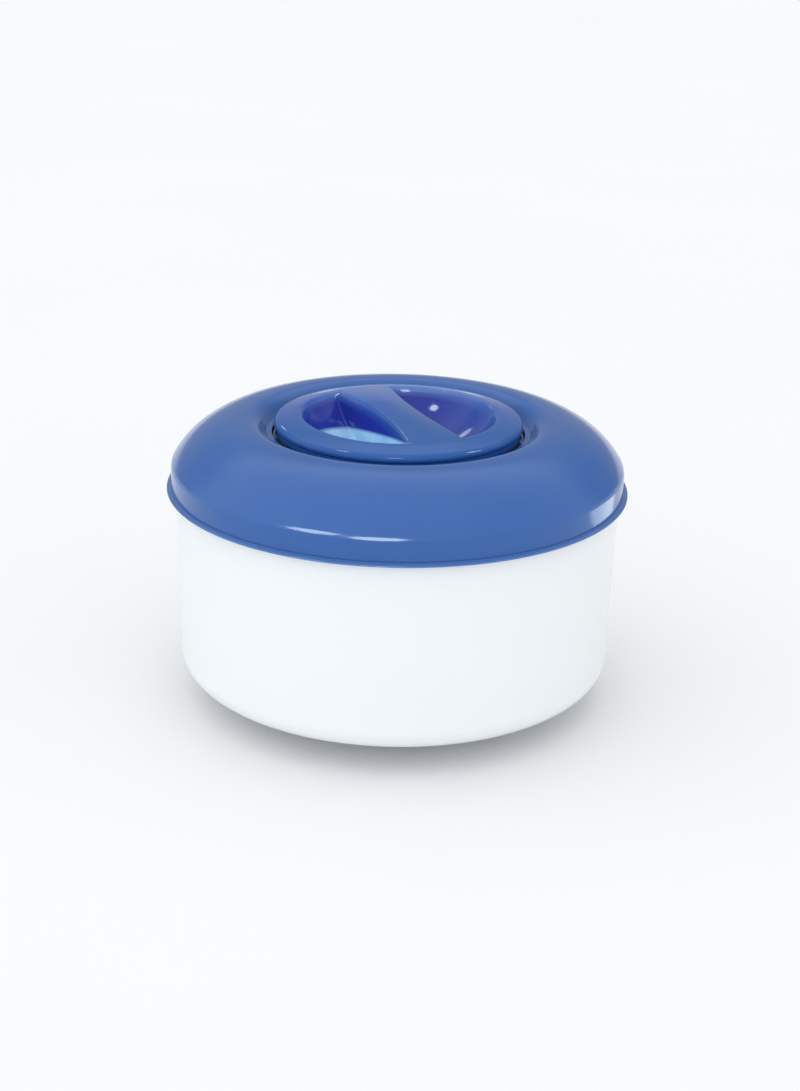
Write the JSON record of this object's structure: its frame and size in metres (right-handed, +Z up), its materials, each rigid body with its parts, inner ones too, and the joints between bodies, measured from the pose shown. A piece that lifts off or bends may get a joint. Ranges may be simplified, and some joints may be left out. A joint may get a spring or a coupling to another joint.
{
  "type": "floating chlorine dispenser",
  "caption": "Round floating tablet dispenser: domed blue float lid, white bowl, bayonet cap with finger wells, telescoping basket with turnable vents, tether ring.",
  "frame": {"origin": "centre of the flat base, on the vertical axis of the float, with the basket retracted", "axes": "+Z up through the cap; +Y towards the tie ring; +X completes the right-handed frame"},
  "size_m": [0.165, 0.1705, 0.1071],
  "materials": {
    "lid_blue": "glossy moulded",
    "cap_blue": "glossy, slightly translucent",
    "dial_blue": "satin moulded",
    "bowl_white": "satin gloss moulded",
    "inner_white": "fine matte moulded",
    "seal_rubber": "matte",
    "tie_grey": "glossy"
  },
  "bodies": {
    "root": {"float_lid": "lid_blue", "rim_ring": "lid_blue", "float_bowl": "bowl_white", "seam_gasket": "seal_rubber", "well_tube": "inner_white", "upper_tube_seal": "seal_rubber", "lower_tube_seal": "seal_rubber", "neck_ring": "lid_blue", "guide_bush": "inner_white", "tie_lug": "bowl_white"},
    "cap_seal": {"cap_seal": "seal_rubber"},
    "cap": {"cap_shell": "cap_blue", "cap_liner": "cap_blue"},
    "basket": {"tablet_basket": "inner_white", "slide_ring": "seal_rubber"},
    "vent": {"vent_sleeve": "inner_white", "vent_dial": "dial_blue", "base_grille": "inner_white", "dial_clip": "inner_white"},
    "tie_ring": {"tie_ring": "tie_grey"}
  },
  "joints": [
    {"name": "cap_lift", "type": "slide", "parent": "root", "child": "cap_seal", "axis": [0, 0, 1], "range_m": [0, 0.04]},
    {"name": "cap_twist", "type": "hinge", "parent": "cap_seal", "child": "cap", "pos_m": [0, 0, 0.0966], "axis": [0, 0, 1], "range_deg": [-40, 0]},
    {"name": "basket_extend", "type": "slide", "parent": "root", "child": "basket", "axis": [0, 0, 1], "range_m": [-0.062, 0]},
    {"name": "vent_turn", "type": "hinge", "parent": "basket", "child": "vent", "pos_m": [0, 0, 0], "axis": [0, 0, 1], "range_deg": [0, 15]},
    {"name": "tie_ring_swing", "type": "hinge", "parent": "root", "child": "tie_ring", "pos_m": [0, 0.0844, 0.0746], "axis": [1, 0, 0], "range_deg": [-6, 150]}
  ]
}
